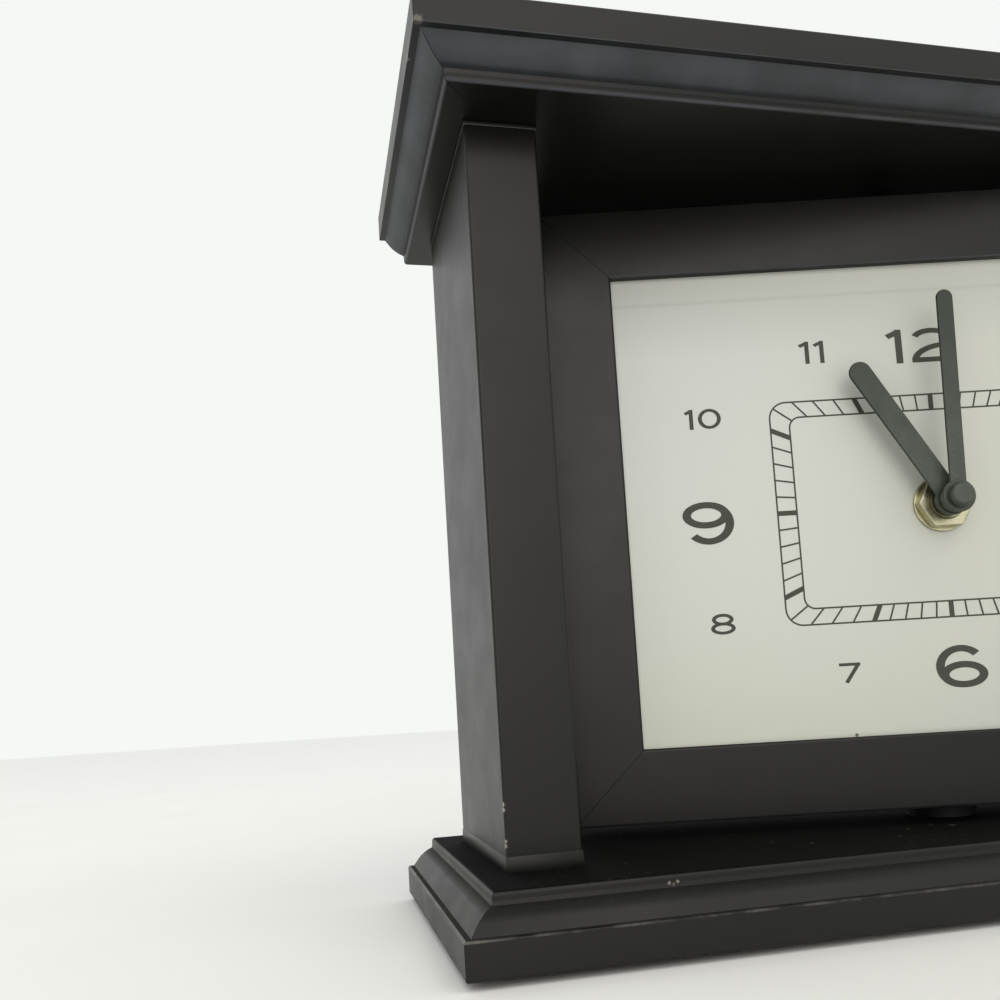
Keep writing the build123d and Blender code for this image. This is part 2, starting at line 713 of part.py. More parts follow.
def make_movement():
    pivot_hole = arbor_diameter + 2 * running_clearance
    housing = plate(movement_width, movement_width, housing_front, cover_front)
    train_height = inner_half - divider_high
    train_middle = divider_high + train_height / 2
    bay_height = divider_low + inner_half
    bay_middle = divider_low - bay_height / 2
    for height, middle in ((train_height, train_middle), (bay_height, bay_middle)):
        housing -= plate(2 * inner_half, height, housing_inside, cover_front, (0, middle))
    for place in boss_places():
        housing += rod(boss_diameter, housing_inside, cover_front, place)
    stator_front = layer_front(2)
    circuit_front = layer_front(5)
    for place in stator_pillars():
        housing += rod(pillar_diameter, housing_inside, stator_front, place)
    for place in circuit_pillars():
        housing += rod(pillar_diameter, housing_inside, circuit_front, place)

    bush_end = dial_front - bush_rise
    flange_front = housing_inside - centre_bush_flange_thickness
    tube_hole = hour_tube_diameter + 2 * running_clearance
    centre_bush = rod(centre_bush_diameter, bush_end, housing_inside)
    centre_bush += rod(centre_bush_flange, flange_front, housing_inside)
    centre_bush -= rod(tube_hole, bush_end, housing_inside)
    housing -= rod(centre_bush_diameter + 2 * glue_clearance, housing_front, housing_inside)
    housing -= rod(centre_bush_flange + 2 * glue_clearance, flange_front, housing_inside)
    for axis in (setting_axis, third_axis, seconds_axis, step_axis, rotor_axis):
        housing -= rod(pivot_hole, housing_inside - pivot_depth, housing_inside, axis)

    cover_height = half_movement - divider_low
    cover_middle = (0, divider_low + cover_height / 2)
    cover = plate(movement_width, cover_height, cover_front, cover_back, cover_middle)
    for axis in (centre_axis, third_axis, seconds_axis, step_axis, rotor_axis):
        cover -= rod(pivot_hole, cover_front, cover_front + pivot_depth, axis)
    cover -= rod(setting_arbor_diameter + 2 * running_clearance, cover_front, cover_back, setting_axis)
    screws = []
    screw_end = cover_back - cover_screw_length
    for place in boss_places():
        screw = rod(cover_screw_diameter, screw_end, cover_back, place)
        screw += rod(cover_screw_head, cover_back, cover_back + cover_screw_head_height, place)
        screws.append(screw)
        cover -= rod(cover_screw_diameter + 2 * screw_clearance, cover_front, cover_back, place)
        housing -= rod(cover_screw_diameter + 2 * glue_clearance, screw_end, cover_front, place)

    gasket = rod(gasket_diameter, board_back, housing_front)
    gasket -= rod(centre_bush_diameter + 2 * fit_clearance, board_back, housing_front)
    washer_front = dial_front - dial_washer_thickness
    washer = rod(dial_washer_diameter, washer_front, dial_front)
    washer -= rod(centre_bush_diameter + 2 * fit_clearance, washer_front, dial_front)
    hexagon = RegularPolygon(nut_across_flats / 2, 6, major_radius=False)
    nut = slab(hexagon, washer_front - nut_thickness, washer_front)
    nut -= rod(centre_bush_diameter + 2 * glue_clearance, washer_front - nut_thickness, washer_front)

    cell_depth = housing_inside + battery_clearance + battery_diameter / 2
    cell_place = Pos(0, cell_depth, bay_middle) * Rot(0, 90, 0)
    cell = Cylinder(battery_diameter / 2, battery_length)
    nub_middle = (battery_length + battery_nub_length) / 2
    cell += Pos(0, 0, nub_middle) * Cylinder(battery_nub_diameter / 2, battery_nub_length)
    left_gap = inner_half - battery_length / 2
    right_gap = left_gap - battery_nub_length
    contacts = []
    for side, gap in ((-1, left_gap), (1, right_gap)):
        leaf = Box(contact_plate, contact_width, contact_width)
        contact = Pos(side * (inner_half - contact_plate / 2), cell_depth, bay_middle) * leaf
        tongue = Rot(0, 90, 0) * Cylinder(contact_tongue_diameter / 2, gap)
        contact += Pos(side * (inner_half - gap / 2), cell_depth, bay_middle) * tongue
        contacts.append(contact)

    stator_middle = (rotor_axis[0] + (stator_length - stator_width) / 2, rotor_axis[1])
    stator_back = stator_front + stator_thickness
    stator = plate(stator_length, stator_width, stator_front, stator_back, stator_middle)
    stator -= rod(magnet_rotor_diameter + 2 * stator_gap, stator_front, stator_back, rotor_axis)
    coil_x = stator_middle[0] + stator_length / 2 - coil_length / 2 - stator_width / 2
    coil_place = Pos(coil_x, stator_back + coil_flange / 2, rotor_axis[1])
    coil = coil_place * Rot(0, 90, 0) * Cylinder(coil_diameter / 2, coil_length)
    flange_x = (coil_length - coil_flange_thickness) / 2
    cheek = Box(coil_flange_thickness, coil_flange, coil_flange)
    for side in (-1, 1):
        coil += coil_place * Pos(side * flange_x, 0, 0) * cheek

    circuit_middle = (circuit_start + circuit_width / 2, -circuit_drop + circuit_height / 2)
    circuit_back = circuit_front + circuit_thickness
    circuit = plate(circuit_width, circuit_height, circuit_front, circuit_back, circuit_middle)
    circuit += plate(chip_size, chip_size, circuit_back, circuit_back + chip_thickness, circuit_middle)
    crystal = Rot(0, 90, 0) * Cylinder(crystal_diameter / 2, crystal_length)
    crystal_depth = circuit_back + crystal_diameter / 2
    crystal_place = Pos(circuit_middle[0], crystal_depth, circuit_middle[1] + crystal_offset)
    return {
        "movement_housing": housing,
        "movement_cover": cover,
        "cover_screws": screws,
        "centre_bush": centre_bush,
        "movement_gasket": gasket,
        "dial_washer": washer,
        "dial_nut": nut,
        "battery": cell_place * cell,
        "battery_contacts": contacts,
        "stator": stator,
        "drive_coil": coil,
        "circuit_board": circuit,
        "quartz_crystal": crystal_place * crystal,
    }


def put(place, piece):
    """Sets a piece, or a group of like pieces, in its place in the clock."""
    if isinstance(piece, list):
        return Compound([place * solid for solid in piece])
    return place * piece


def main():
    os.makedirs("parts", exist_ok=True)
    groups = [
        (Location(), make_case()),
        (panel_place, make_frame()),
        (panel_place, make_photo_frame()),
        (movement_place, make_movement()),
        (movement_place, make_train()),
        (movement_place, make_hands()),
    ]
    for place, pieces in groups:
        for name, piece in pieces.items():
            export_step(put(place, piece), f"parts/{name}.step")


main()
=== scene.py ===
import json
import math

import bmesh
import bpy
from mathutils import Matrix, Vector

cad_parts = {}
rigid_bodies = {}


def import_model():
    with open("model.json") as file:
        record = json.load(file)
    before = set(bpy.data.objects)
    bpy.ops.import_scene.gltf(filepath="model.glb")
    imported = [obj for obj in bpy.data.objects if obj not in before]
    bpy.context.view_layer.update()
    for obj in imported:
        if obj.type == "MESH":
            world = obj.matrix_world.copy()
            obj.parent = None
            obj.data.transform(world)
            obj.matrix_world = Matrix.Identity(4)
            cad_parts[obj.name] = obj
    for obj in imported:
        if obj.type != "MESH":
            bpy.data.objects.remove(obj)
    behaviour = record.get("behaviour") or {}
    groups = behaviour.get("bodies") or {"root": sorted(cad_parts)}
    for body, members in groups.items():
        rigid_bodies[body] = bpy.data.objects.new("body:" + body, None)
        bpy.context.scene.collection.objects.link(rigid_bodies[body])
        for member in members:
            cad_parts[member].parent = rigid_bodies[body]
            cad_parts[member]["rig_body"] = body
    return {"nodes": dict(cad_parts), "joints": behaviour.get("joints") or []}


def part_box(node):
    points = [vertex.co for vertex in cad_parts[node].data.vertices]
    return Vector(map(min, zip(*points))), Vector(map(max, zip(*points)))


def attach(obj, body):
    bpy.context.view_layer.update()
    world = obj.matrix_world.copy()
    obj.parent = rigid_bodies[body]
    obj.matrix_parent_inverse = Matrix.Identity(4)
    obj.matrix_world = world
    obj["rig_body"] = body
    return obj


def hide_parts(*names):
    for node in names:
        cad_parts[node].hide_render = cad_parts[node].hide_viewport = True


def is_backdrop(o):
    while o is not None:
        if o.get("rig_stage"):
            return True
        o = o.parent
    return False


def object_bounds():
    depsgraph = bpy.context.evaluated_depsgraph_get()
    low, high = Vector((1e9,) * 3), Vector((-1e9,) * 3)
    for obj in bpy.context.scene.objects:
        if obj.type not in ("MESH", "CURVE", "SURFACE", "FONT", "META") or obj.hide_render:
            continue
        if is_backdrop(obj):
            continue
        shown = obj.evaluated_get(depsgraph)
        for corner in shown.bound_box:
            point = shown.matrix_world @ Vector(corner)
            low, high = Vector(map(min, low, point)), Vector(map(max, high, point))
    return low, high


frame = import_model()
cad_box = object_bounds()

MM = 0.001
WORLD_UP = Vector((0, 0, 1))
joints = {joint["name"]: joint for joint in frame["joints"]}
panel_back = Vector(joints["minute_hand_turn"]["axis"])
panel_right = panel_back.cross(WORLD_UP)
panel_turn = (0, 0, math.atan2(panel_right.y, panel_right.x))

# The dial's centre is where the hands' axis meets the front face of the dial card
card_points = [vertex.co for vertex in frame["nodes"]["dial_card"].data.vertices]
card_front = min(point.dot(panel_back) for point in card_points)
dial_centre = Vector(joints["minute_hand_turn"]["pos_m"])
dial_centre += panel_back * (card_front - dial_centre.dot(panel_back))
dial_axes = Matrix((panel_right, WORLD_UP, -panel_back)).transposed().to_4x4()
dial_place = Matrix.Translation(dial_centre) @ dial_axes


def middle(node):
    """The middle of a CAD piece's box."""
    low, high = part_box(node)
    return (low + high) / 2


def linear(colour):
    """An sRGB hex colour as linear RGBA."""
    channels = [int(colour[start:start + 2], 16) / 255 for start in (1, 3, 5)]
    return [c / 12.92 if c <= 0.04045 else ((c + 0.055) / 1.055) ** 2.4 for c in channels] + [1.0]


def per(size):
    """The texture scale whose features are about that many millimetres across."""
    return 1 / (size * MM)


def add(tree, kind, inputs=(), **settings):
    """Adds a node with its settings, its inputs set or linked by name or number, and returns its outputs.

    Map Range's inputs are 0 the value, 1 and 2 the range that it reads, 3 and 4 the range that it gives. Mix's
    are 0 the share, 2 and 3 the numbers, 6 and 7 the colours.
    """
    made = tree.nodes.new("ShaderNode" + kind)
    for name, value in settings.items():
        setattr(made, name, value)
    for socket, value in dict(inputs).items():
        if isinstance(value, bpy.types.NodeSocket):
            tree.links.new(value, made.inputs[socket])
        else:
            made.inputs[socket].default_value = value
    return made.outputs


def new_finish(name, **sockets):
    """A new material with those shader sockets set, its node tree, shader inputs and Object coordinates."""
    material = bpy.data.materials.new(name)
    material.use_nodes = True
    tree = material.node_tree
    shader = tree.nodes["Principled BSDF"]
    for socket, value in sockets.items():
        shader.inputs[socket.replace("_", " ")].default_value = value
    return material, tree, shader.inputs, add(tree, "TexCoord")["Object"]


def only(piece):
    """Makes the piece the one selected and active object."""
    bpy.ops.object.select_all(action="DESELECT")
    piece.select_set(True)
    bpy.context.view_layer.objects.active = piece


# Camera, floor and light

case_middle = Vector((0, 0, 0.09))
# The camera stands low, in front of the left post
camera = bpy.data.objects.new("camera", bpy.data.cameras.new("camera"))
bpy.context.scene.collection.objects.link(camera)
camera_right = Vector((0.9764, -0.2079, -0.0590))
camera_up = Vector((0.0399, -0.0948, 0.9947))
camera_ahead = Vector((0.2124, 0.9735, 0.0843))
camera.matrix_world = Matrix((camera_right, camera_up, -camera_ahead)).transposed().to_4x4()
camera.location = Vector((-153.4, -196.65, 46.4)) * MM
camera.data.sensor_width = 36.0
camera.data.lens = 32.8
camera.data.shift_y = 0.1347
camera.data.clip_start = 0.01
bpy.context.scene.camera = camera
bpy.context.scene.view_settings.view_transform = "Standard"
bpy.context.scene.view_settings.look = "Medium High Contrast"


def pale_floor():
    """A broad round floor of matt pale card."""
    bpy.ops.object.select_all(action="DESELECT")
    bpy.ops.mesh.primitive_circle_add(vertices=96, radius=2.5, fill_type="NGON")
    floor = bpy.context.object
    floor.name = "studio_floor"
    material, tree, shader, place = new_finish("matt pale card", Roughness=0.9)
    fleck = add(tree, "TexNoise", {"Vector": place, "Scale": per(60), "Detail": 3.0})[0]
    colour = add(tree, "Mix", {0: fleck, 6: linear("#efeeec"), 7: linear("#f5f4f2")}, data_type="RGBA")[2]
    tree.links.new(colour, shader["Base Color"])
    floor.data.materials.append(material)
    floor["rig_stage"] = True


def soft_light(name, location, size, power, colour):
    """A square studio softbox that faces the middle of the case."""
    lamp = bpy.data.lights.new(name, "AREA")
    lamp.size = size
    lamp.energy = power
    lamp.color = linear(colour)[:3]
    light = bpy.data.objects.new(name, lamp)
    bpy.context.scene.collection.objects.link(light)
    light.location = location
    light.rotation_euler = (case_middle - light.location).to_track_quat("-Z", "Y").to_euler()


pale_floor()
soft_light("key", location=(0.35, -0.55, 1.30), size=0.6, power=1.5, colour="#fff8ee")
soft_light("fill", location=(-0.25, -1.5, 0.66), size=1.1, power=5.6, colour="#fff7ee")
world = bpy.data.worlds.new("studio air")
bpy.context.scene.world = world
world.use_nodes = True
world.node_tree.nodes["Background"].inputs["Color"].default_value = linear("#f8faf8")
world.node_tree.nodes["Background"].inputs["Strength"].default_value = 0.82


# Finishes

# Each spot of chipped paint or caught lint: its place and size in millimetres, and how pale it is
pale_spots = [
    # Chips down the left post's front arris
    ((-116.2, -19.6, 28.3), 0.55, 0.90),
    ((-116.2, -19.4, 27.3), 0.60, 0.80),
    ((-116.2, -19.6, 21.2), 0.50, 0.90),
    ((-116.2, -19.4, 20.2), 0.65, 0.70),
    # Chips along the base's bead
    ((-89.3, -35.9, 13.3), 0.42, 0.50),
    ((-88.5, -35.9, 13.0), 0.40, 0.25),
    ((-87.6, -35.9, 13.4), 0.45, 0.60),
    # Chips on the crown's left corner and on the edge behind it
    ((-127.6, -37.9, 176.8), 1.20, 0.30),
    ((-128.2, -27.4, 177.0), 0.80, 0.60),
    # Lint on the base board
    ((-55.8, -12.5, 14.9), 0.50, 0.25),
    ((-49.7, -18.4, 14.9), 0.60, 0.30),
    ((-30.0, -20.3, 14.9), 0.55, 0.30),
    ((-22.5, -12.7, 14.9), 0.70, 0.25),
    ((-14.8, -10.4, 14.9), 0.60, 0.30),
    ((-11.4, -13.1, 14.9), 0.80, 0.35),
]


def black_lacquer(name, dark, light, satin_range, specular=0.5, slope_sheen=0.0, level_sheen=0.0):
    """Black lacquer sprayed on wood: a soft sheen over faint orange peel, settled dust and chips.

    slope_sheen and level_sheen say how much painted bluish-grey sheen, standing for the bright floor's
    reflection, lies on faces that lean down or look straight down.
    """
    material, tree, shader, place = new_finish(name, IOR=1.5, Specular_IOR_Level=specular)
    haze = add(tree, "TexNoise", {"Vector": place, "Scale": per(26), "Detail": 3.0})[0]
    coat = add(tree, "Mix", {0: haze, 6: linear(dark), 7: linear(light)}, data_type="RGBA")[2]
    facing = add(tree, "SeparateXYZ", {0: add(tree, "NewGeometry")["Normal"]})["Z"]
    # Painted reflection of the bright floor: a bluish grey on faces that lean down, patchy in soft clouds.
    leaning = add(tree, "MapRange", {0: facing, 1: -0.15, 2: -0.60})[0]
    level = add(tree, "MapRange", {0: facing, 1: -0.97, 2: -0.88, 3: level_sheen, 4: slope_sheen})[0]
    sloped = add(tree, "Math", {0: leaning, 1: level}, operation="MULTIPLY")[0]
    mottle = add(tree, "TexNoise", {"Vector": place, "Scale": per(9), "Detail": 3.0})[0]
    wiped = add(tree, "MapRange", {0: mottle, 1: 0.3, 2: 0.7, 3: 0.6, 4: 1.0})[0]
    bloom_and_sheen = add(tree, "Math", {0: sloped, 1: wiped}, operation="MULTIPLY")[0]
    sheened = add(tree, "Mix", {0: bloom_and_sheen, 6: coat, 7: linear("#45484d")}, data_type="RGBA")[2]
    # Dust lies in drifts on faces that look up.
    upward = add(tree, "MapRange", {0: facing, 1: 0.80, 2: 0.97})[0]
    lint = add(tree, "TexNoise", {"Vector": place, "Scale": per(1.5), "Detail": 3.0, "Roughness": 0.6})[0]
    speck = add(tree, "MapRange", {0: lint, 1: 0.58, 2: 0.76})[0]
    gather = add(tree, "TexNoise", {"Vector": place, "Scale": per(22), "Detail": 3.0})[0]
    drift = add(tree, "MapRange", {0: gather, 1: 0.45, 2: 0.70, 3: 0.0, 4: 0.25})[0]
    drifted = add(tree, "Math", {0: speck, 1: drift}, operation="MULTIPLY")[0]
    dust = add(tree, "Math", {0: drifted, 1: upward}, operation="MULTIPLY")[0]
    dusty = add(tree, "Mix", {0: dust, 6: sheened, 7: linear("#8b8880")}, data_type="RGBA")[2]
    # Chips show the pale primer and lint lies as pale tufts, both with ragged soft edges.
    wander = add(tree, "TexNoise", {"Vector": place, "Scale": per(0.7), "Detail": 4.0, "Roughness": 0.7})[0]
    ragged = add(tree, "MapRange", {0: wander, 1: 0.25, 2: 0.75, 3: -0.5, 4: 0.5})[0]
    spotted = 0.0
    for spot, size, paleness in pale_spots:
        reach = add(tree, "VectorMath", {0: place, 1: Vector(spot) * MM}, operation="DISTANCE")["Value"]
        bent = add(tree, "Math", {0: ragged, 1: size * MM, 2: reach}, operation="MULTIPLY_ADD")[0]
        inside = add(tree, "MapRange", {0: bent, 1: size * MM, 2: size / 2 * MM, 3: 0.0, 4: paleness})[0]
        spotted = add(tree, "Math", {0: inside, 1: spotted}, operation="MAXIMUM")[0]
    colour = add(tree, "Mix", {0: spotted, 6: dusty, 7: linear("#a7a197")}, data_type="RGBA")[2]
    tree.links.new(colour, shader["Base Color"])
    smears = add(tree, "TexNoise", {"Vector": place, "Scale": per(11), "Detail": 4.0})[0]
    satin = add(tree, "MapRange", {0: smears, 1: 0.3, 2: 0.7, 3: satin_range[0], 4: satin_range[1]})[0]
    # A film of dust dulls the faces that look up.
    tree.links.new(add(tree, "Mix", {0: upward, 2: satin, 3: 0.85})[0], shader["Roughness"])
    peel = add(tree, "TexNoise", {"Vector": place, "Scale": per(1.4), "Detail": 2.0})[0]
    bump = add(tree, "Bump", {"Height": peel, "Strength": 0.35, "Distance": 0.03 * MM})["Normal"]
    tree.links.new(bump, shader["Normal"])
    return material


def rubbed_paint():
    """The same lacquer on an arris, rubbed thin, with the grey primer showing in short breaks."""
    material, tree, shader, place = new_finish("black lacquer rubbed at the edges", IOR=1.5, Roughness=0.38)
    wear = add(tree, "TexNoise", {"Vector": place, "Scale": per(9), "Detail": 6.0, "Roughness": 0.7})[0]
    thin = add(tree, "MapRange", {0: wear, 1: 0.42, 2: 0.66})[0]
    colour = add(tree, "Mix", {0: thin, 6: linear("#131210"), 7: linear("#5f5c57")}, data_type="RGBA")[2]
    tree.links.new(colour, shader["Base Color"])
    return material


def sanded_beech():
    """Beech sanded bare: pale pink-brown with short darker flecks along the grain."""
    material, tree, shader, place = new_finish("sanded beech", Roughness=0.68)
    along = add(tree, "Mapping", {"Vector": place, "Scale": (1.0, 1.0, 0.12)})[0]
    fleck = add(tree, "TexNoise", {"Vector": along, "Scale": per(0.8), "Detail": 4.0})[0]
    sharp = add(tree, "MapRange", {0: fleck, 1: 0.35, 2: 0.65})[0]
    colour = add(tree, "Mix", {0: sharp, 6: linear("#b98a5e"), 7: linear("#d6b188")}, data_type="RGBA")[2]
    tree.links.new(colour, shader["Base Color"])
    bump = add(tree, "Bump", {"Height": fleck, "Strength": 0.3, "Distance": 0.05 * MM})["Normal"]
    tree.links.new(bump, shader["Normal"])
    return material


def pressed_hardboard():
    """Hardboard pressed from wood fibre: warm brown, with a fine tangle of lighter and darker fibres."""
    material, tree, shader, place = new_finish("pressed hardboard", Roughness=0.7)
    fibre = add(tree, "TexNoise", {"Vector": place, "Scale": per(0.7), "Detail": 6.0, "Distortion": 1.2})[0]
    cloud = add(tree, "TexNoise", {"Vector": place, "Scale": per(12), "Detail": 2.0})[0]
    mixed = add(tree, "Mix", {0: 0.35, 2: fibre, 3: cloud})[0]
    sharp = add(tree, "MapRange", {0: mixed, 1: 0.35, 2: 0.65})[0]
    colour = add(tree, "Mix", {0: sharp, 6: linear("#6a4a2e"), 7: linear("#94714b")}, data_type="RGBA")[2]
    tree.links.new(colour, shader["Base Color"])
    bump = add(tree, "Bump", {"Height": fibre, "Strength": 0.3, "Distance": 0.06 * MM})["Normal"]
    tree.links.new(bump, shader["Normal"])
    return material


def zinc_plated_steel():
    """Steel with bright zinc plate: a cool grey metal with cloudy crystal patches that break its shine."""
    material, tree, shader, place = new_finish("zinc plated steel", Metallic=1.0)
    cloud = add(tree, "TexNoise", {"Vector": place, "Scale": per(1.6), "Detail": 3.0})[0]
    colour = add(tree, "Mix", {0: cloud, 6: linear("#a9adb1"), 7: linear("#c8cbce")}, data_type="RGBA")[2]
    tree.links.new(colour, shader["Base Color"])
    dulled = add(tree, "MapRange", {0: cloud, 1: 0.3, 2: 0.7, 3: 0.26, 4: 0.42})[0]
    tree.links.new(dulled, shader["Roughness"])
    return material


def pressed_felt():
    """Wool felt cut into discs: charcoal, quite without gloss, with a tangle of paler fibres."""
    material, tree, shader, place = new_finish("pressed wool felt", Roughness=1.0, Specular_IOR_Level=0.1)
    fibre = add(tree, "TexNoise", {"Vector": place, "Scale": per(0.35), "Detail": 5.0, "Distortion": 2.0})[0]
    colour = add(tree, "Mix", {0: fibre, 6: linear("#1d1d1e"), 7: linear("#47474a")}, data_type="RGBA")[2]
    tree.links.new(colour, shader["Base Color"])
    bump = add(tree, "Bump", {"Height": fibre, "Strength": 0.8, "Distance": 0.15 * MM})["Normal"]
    tree.links.new(bump, shader["Normal"])
    return material


def turned_nylon():
    """Black nylon faced on a lathe: dull, with faint turning marks that break its sheen."""
    material, tree, shader, place = new_finish("turned black nylon", IOR=1.53)
    marks = add(tree, "TexNoise", {"Vector": place, "Scale": per(0.5), "Detail": 3.0})[0]
    colour = add(tree, "Mix", {0: marks, 6: linear("#151516"), 7: linear("#232324")}, data_type="RGBA")[2]
    tree.links.new(colour, shader["Base Color"])
    tree.links.new(add(tree, "MapRange", {0: marks, 3: 0.45, 4: 0.68})[0], shader["Roughness"])
    return material


def nickel_plate():
    """Bright nickel over a sintered magnet: warm silver, near mirror, softly dimpled."""
    material, tree, shader, place = new_finish("bright nickel plate", Metallic=1.0)
    dimple = add(tree, "TexNoise", {"Vector": place, "Scale": per(0.8), "Detail": 2.0})[0]
    colour = add(tree, "Mix", {0: dimple, 6: linear("#b9b3a8"), 7: linear("#d2cdc3")}, data_type="RGBA")[2]
    tree.links.new(colour, shader["Base Color"])
    tree.links.new(add(tree, "MapRange", {0: dimple, 3: 0.14, 4: 0.26})[0], shader["Roughness"])
    return material


def matt_dial_card():
    """Coated card, a little aged: grey-white, yellower to the foot, with painted shade to the right and at the
    top, and a thin dark line.
    """
    material, tree, shader, place = new_finish(
        "matt coated dial card", Roughness=0.72, Specular_IOR_Level=0.3
    )
    # The yellowing starts above the dial's middle, in soft clouds, and is full near the card's foot.
    yellow_below, clean_above = 35 * MM, 110 * MM
    height = add(tree, "SeparateXYZ", {0: place})["Z"]
    climb = add(tree, "MapRange", {0: height, 1: yellow_below, 2: clean_above})[0]
    cloud = add(tree, "TexNoise", {"Vector": place, "Scale": per(40), "Detail": 2.0})[0]
    drift = add(tree, "MapRange", {0: cloud, 1: 0.3, 2: 0.7, 3: -0.15, 4: 0.15})[0]
    tone = add(tree, "Math", {0: climb, 1: drift}, operation="ADD", use_clamp=True)[0]
    clean = add(tree, "Mix", {0: tone, 6: linear("#d5d8cd"), 7: linear("#d5d8d5")}, data_type="RGBA")[2]
    # Painted shade: the card is drawn darker towards the right.
    side_shade_start, side_shade_full = -65 * MM, 5 * MM
    across = add(tree, "VectorMath", {0: place, 1: panel_right}, operation="DOT_PRODUCT")["Value"]
    dulled = add(tree, "MapRange", {0: across, 1: side_shade_start, 2: side_shade_full})[0]
    card = add(tree, "Mix", {0: dulled, 6: clean, 7: linear("#c7c9c1")}, data_type="RGBA")[2]
    # Painted shade darkens the card towards the top, down to a thin dark line that runs across it near the
    # top.
    dark_line_height = dial_centre.z + 53.1 * MM
    rise = add(tree, "Math", {0: height, 1: dark_line_height}, operation="SUBTRACT")[0]
    above = add(tree, "MapRange", {0: rise, 1: -14 * MM, 2: 4 * MM, 3: 0.0, 4: 0.75})[0]
    shaded = add(tree, "Mix", {0: above, 6: card, 7: linear("#b9bab4")}, data_type="RGBA")[2]
    off_line = add(tree, "Math", {0: rise}, operation="ABSOLUTE")[0]
    dark_line = add(tree, "MapRange", {0: off_line, 1: 0.7 * MM, 2: 0.1 * MM, 3: 0.0, 4: 0.28})[0]
    lined = add(tree, "Mix", {0: dark_line, 6: shaded, 7: linear("#a5a69f")}, data_type="RGBA")[2]
    tooth = add(tree, "TexNoise", {"Vector": place, "Scale": per(0.5), "Detail": 3.0})[0]
    grain = add(tree, "MapRange", {0: tooth, 3: 0.0, 4: 0.10})[0]
    toothed = add(tree, "Mix", {0: grain, 6: lined, 7: linear("#c6c8bd")}, data_type="RGBA")[2]
    # A small dark nick lies near the foot, left of the middle.
    nick = dial_place @ Vector((-25.0 * MM, -53.4 * MM, 0))
    reach = add(tree, "VectorMath", {0: place, 1: nick}, operation="DISTANCE")["Value"]
    nicked = add(tree, "MapRange", {0: reach, 1: 0.55 * MM, 2: 0.25 * MM})[0]
    colour = add(tree, "Mix", {0: nicked, 6: toothed, 7: linear("#6c6d66")}, data_type="RGBA")[2]
    tree.links.new(colour, shader["Base Color"])
    return material


def printing_ink():
    """Dark olive-grey ink laid flat on card, slightly uneven where the card took less of it."""
    material, tree, shader, place = new_finish(
        "olive grey printing ink", Roughness=0.55, Specular_IOR_Level=0.3
    )
    take = add(tree, "TexNoise", {"Vector": place, "Scale": per(0.6), "Detail": 3.0})[0]
    colour = add(tree, "Mix", {0: take, 6: linear("#45463f"), 7: linear("#585951")}, data_type="RGBA")[2]
    tree.links.new(colour, shader["Base Color"])
    return material


def turned_brass():
    """Brass turned and lacquered: a greenish gold that mirrors its surroundings in rings."""
    material, tree, shader, place = new_finish("turned lacquered brass", Metallic=1.0)
    marks = add(tree, "TexNoise", {"Vector": place, "Scale": per(0.7), "Detail": 3.0})[0]
    colour = add(tree, "Mix", {0: marks, 6: linear("#aea98a"), 7: linear("#d2cfb8")}, data_type="RGBA")[2]
    tree.links.new(colour, shader["Base Color"])
    tree.links.new(add(tree, "MapRange", {0: marks, 3: 0.26, 4: 0.40})[0], shader["Roughness"])
    return material


def charcoal_aluminium():
    """Aluminium hands under charcoal paint: grey-green, satin, gritty, with painted shade darkening them
    towards the tips.
    """
    material, tree, shader, place = new_finish("charcoal painted aluminium", IOR=1.48)
    grit = add(tree, "TexNoise", {"Vector": place, "Scale": per(0.45), "Detail": 3.0})[0]
    graze = add(tree, "TexNoise", {"Vector": place, "Scale": per(6), "Detail": 4.0})[0]
    mixed = add(tree, "Mix", {0: 0.5, 2: grit, 3: graze})[0]
    sharp = add(tree, "MapRange", {0: mixed, 1: 0.35, 2: 0.65})[0]
    paint = add(tree, "Mix", {0: sharp, 6: linear("#434842"), 7: linear("#555a52")}, data_type="RGBA")[2]
    # Painted shade: the hands are drawn darker from near the hub out to their tips.
    reach = add(tree, "VectorMath", {0: place, 1: dial_centre}, operation="DISTANCE")["Value"]
    painted_tip_shade = add(tree, "MapRange", {0: reach, 1: 14 * MM, 2: 44 * MM, 3: 0.0, 4: 0.75})[0]
    colour = add(tree, "Mix", {0: painted_tip_shade, 6: paint, 7: linear("#2f332e")}, data_type="RGBA")[2]
    tree.links.new(colour, shader["Base Color"])
    tree.links.new(add(tree, "MapRange", {0: graze, 3: 0.36, 4: 0.52})[0], shader["Roughness"])
    bump = add(tree, "Bump", {"Height": grit, "Strength": 0.25, "Distance": 0.02 * MM})["Normal"]
    tree.links.new(bump, shader["Normal"])
    return material


def moulded_black_abs():
    """Black ABS moulded in a spark-eroded tool: an even fine grain that scatters its sheen."""
    material, tree, shader, place = new_finish("moulded black ABS", IOR=1.54)
    grain = add(tree, "TexVoronoi", {"Vector": place, "Scale": per(0.35)})["Distance"]
    flow = add(tree, "TexNoise", {"Vector": place, "Scale": per(14), "Detail": 2.0})[0]
    colour = add(tree, "Mix", {0: flow, 6: linear("#161617"), 7: linear("#202021")}, data_type="RGBA")[2]
    tree.links.new(colour, shader["Base Color"])
    tree.links.new(add(tree, "MapRange", {0: flow, 3: 0.42, 4: 0.55})[0], shader["Roughness"])
    bump = add(tree, "Bump", {"Height": grain, "Strength": 0.4, "Distance": 0.03 * MM})["Normal"]
    tree.links.new(bump, shader["Normal"])
    return material


def soft_rubber():
    """Black rubber cut from sheet: dull and dusty, with almost no highlight."""
    material, tree, shader, place = new_finish("soft black rubber", Roughness=0.85, Specular_IOR_Level=0.25)
    bloom_and_sheen = add(tree, "TexNoise", {"Vector": place, "Scale": per(2.5), "Detail": 4.0})[0]
    colour = add(tree, "Mix", {0: bloom_and_sheen, 6: linear("#131313"), 7: linear("#2b2a29")}, data_type="RGBA")[2]
    tree.links.new(colour, shader["Base Color"])
    return material


